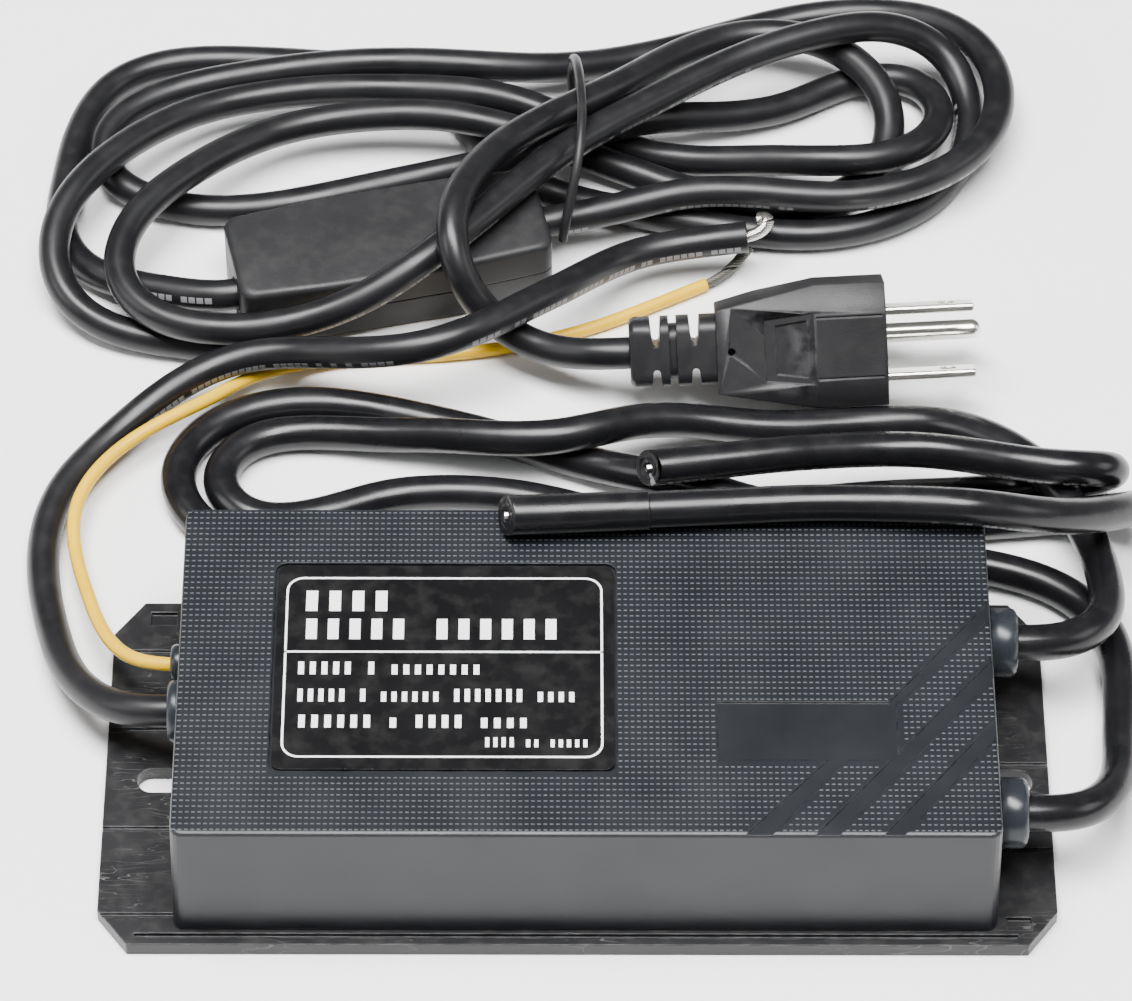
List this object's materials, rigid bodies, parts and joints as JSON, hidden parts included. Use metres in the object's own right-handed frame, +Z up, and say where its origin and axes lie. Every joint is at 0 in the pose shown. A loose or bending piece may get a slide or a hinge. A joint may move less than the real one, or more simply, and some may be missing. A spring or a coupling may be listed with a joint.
{
  "type": "sign tube power supply",
  "caption": "High-voltage power supply for a gas-filled sign tube: plastic housing on a slotted plate, output cables, input lead, tied power cord with plug and rocker switch.",
  "frame": {"origin": "middle of the base plate's underside", "axes": "+X along the housing to its high-voltage end, +Y to the rear where the power cord lies, +Z up from the plate"},
  "size_m": [0.2137, 0.236, 0.0395],
  "materials": {
    "housing_plastic": "satin, ribbed with fine raised dashes",
    "base_metal": "black, semi-gloss, scratched",
    "label_film": "printed film, satin",
    "bushing_plastic": "glossy slate grey",
    "cable_jacket": "satin black",
    "ground_jacket": "satin yellow",
    "moulded_black": "fine-grained black",
    "blade_nickel": "bright nickel",
    "tinned_wire": "tinned strands",
    "screw_steel": "zinc plated",
    "contact_brass": "plain",
    "board_laminate": "green laminate",
    "ferrite": "matt sintered",
    "bobbin_plastic": "plain",
    "winding_copper": "lacquered copper wire",
    "fin_aluminium": "extruded",
    "component_epoxy": "moulded epoxy",
    "capacitor_sleeve": "shrunk sleeve",
    "film_epoxy": "dipped epoxy",
    "fuse_glass": "clear",
    "terminal_green": "moulded"
  },
  "bodies": {
    "supply": {"base_plate": "base_metal", "housing": "housing_plastic", "rating_label": "label_film", "hv_bushing_rear": "bushing_plastic", "hv_bushing_front": "bushing_plastic", "input_grommet": "bushing_plastic", "ground_grommet": "bushing_plastic", "housing_screw_1": "screw_steel", "housing_screw_2": "screw_steel", "housing_screw_3": "screw_steel", "housing_screw_4": "screw_steel", "circuit_board": "board_laminate", "board_screw_1": "screw_steel", "board_screw_2": "screw_steel", "board_standoff_1": "contact_brass", "board_standoff_2": "contact_brass", "core_lower": "ferrite", "core_upper": "ferrite", "coil_bobbin": "bobbin_plastic", "primary_winding": "winding_copper", "secondary_winding": "winding_copper", "heat_sink": "fin_aluminium", "transistor_1": "component_epoxy", "transistor_2": "component_epoxy", "filter_capacitor_1": "capacitor_sleeve", "filter_capacitor_2": "capacitor_sleeve", "film_capacitor": "film_epoxy", "bridge_rectifier": "component_epoxy", "fuse": "fuse_glass", "fuse_clip_1": "contact_brass", "fuse_clip_2": "contact_brass", "choke_core": "ferrite", "choke_winding": "winding_copper", "hv_terminal_1": "contact_brass", "hv_terminal_2": "contact_brass", "input_terminal_block": "terminal_green", "input_cord": "cable_jacket", "input_cord_conductor": "tinned_wire", "ground_wire": "ground_jacket", "ground_wire_strands": "tinned_wire", "hv_cable_rear": "cable_jacket", "hv_core_rear": "tinned_wire", "hv_cable_front": "cable_jacket", "hv_sleeve_front": "cable_jacket", "hv_core_front": "tinned_wire", "power_cord_plug_side": "cable_jacket", "power_cord_supply_side": "cable_jacket", "power_cord_conductor": "tinned_wire", "cord_tie": "moulded_black", "switch_back_shell": "moulded_black", "switch_front_shell": "moulded_black", "switch_contact_1": "contact_brass", "switch_contact_2": "contact_brass", "switch_screw": "screw_steel", "plug_body": "moulded_black", "plug_strain_relief": "moulded_black", "blade_line": "blade_nickel", "blade_neutral": "blade_nickel", "ground_pin": "blade_nickel"},
    "rocker": {"switch_rocker": "moulded_black"}
  },
  "joints": [
    {"name": "rocker_pivot", "type": "hinge", "parent": "supply", "child": "rocker", "pos_m": [-0.0368, 0.123, 0.0062], "axis": [-0.225, 0.9744, 0], "range_deg": [0, 20]}
  ]
}
